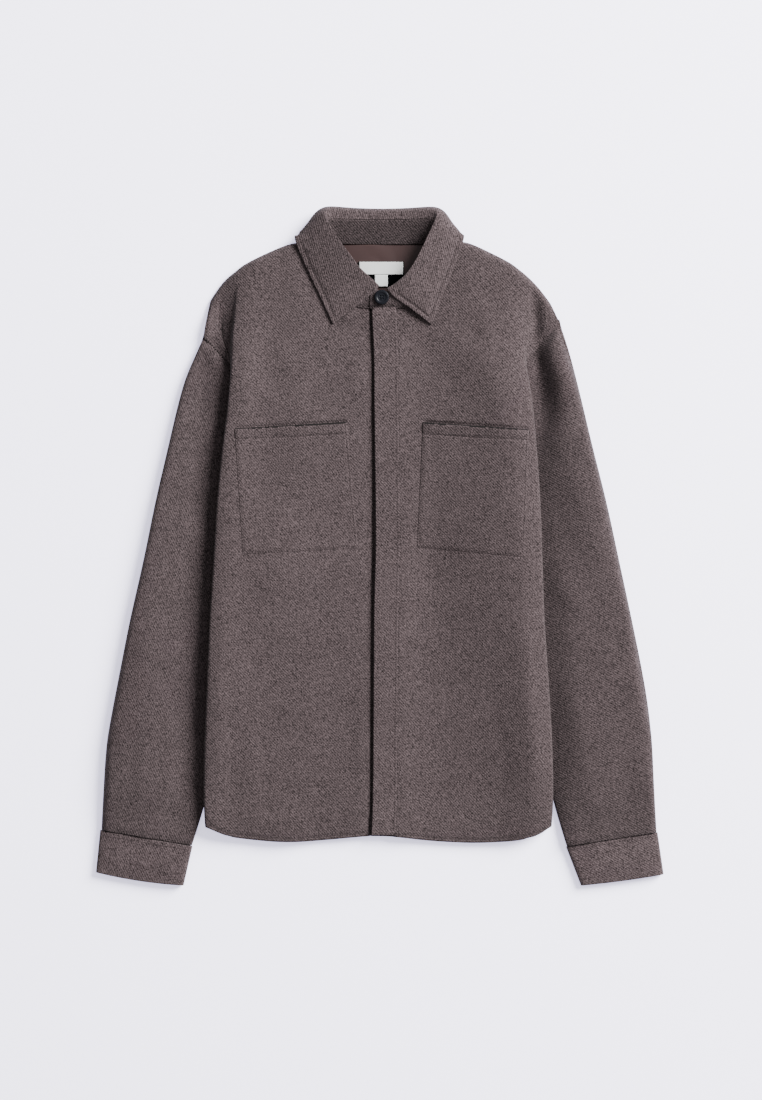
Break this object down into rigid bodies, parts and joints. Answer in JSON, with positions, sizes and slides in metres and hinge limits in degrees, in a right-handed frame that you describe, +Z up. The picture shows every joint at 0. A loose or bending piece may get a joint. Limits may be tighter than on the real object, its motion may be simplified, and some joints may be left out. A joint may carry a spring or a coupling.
{
  "type": "shacket",
  "caption": "Collared wool overshirt with long cuffed sleeves and breast patch pockets, laid flat on its back and buttoned at the neck.",
  "frame": {"origin": "centre of the bounding box on the surface that the garment lies on", "axes": "+Z up from the surface, +Y from the hem to the collar, +X to the wearer's left"},
  "size_m": [0.681, 0.8139, 0.0258],
  "materials": {
    "wool_twill": "brushed melange wool twill, matt with a soft nap",
    "satin_lining": "satin lining with a soft gloss",
    "label_black": "woven tape",
    "label_white": "woven tape, bare",
    "button": "polished"
  },
  "bodies": {
    "root": {"back_panel": "wool_twill", "sleeve_right": "wool_twill", "sleeve_left": "wool_twill", "cuff_right": "wool_twill", "cuff_left": "wool_twill", "front_right": "wool_twill", "front_left": "wool_twill", "front_band": "wool_twill", "pocket_right": "wool_twill", "pocket_left": "wool_twill", "collar_stand": "wool_twill", "collar_leaves": "wool_twill", "yoke_lining": "satin_lining", "label_black": "label_black", "label_white": "label_white", "label_size_tab": "label_white", "neck_button": "button"}
  },
  "joints": []
}
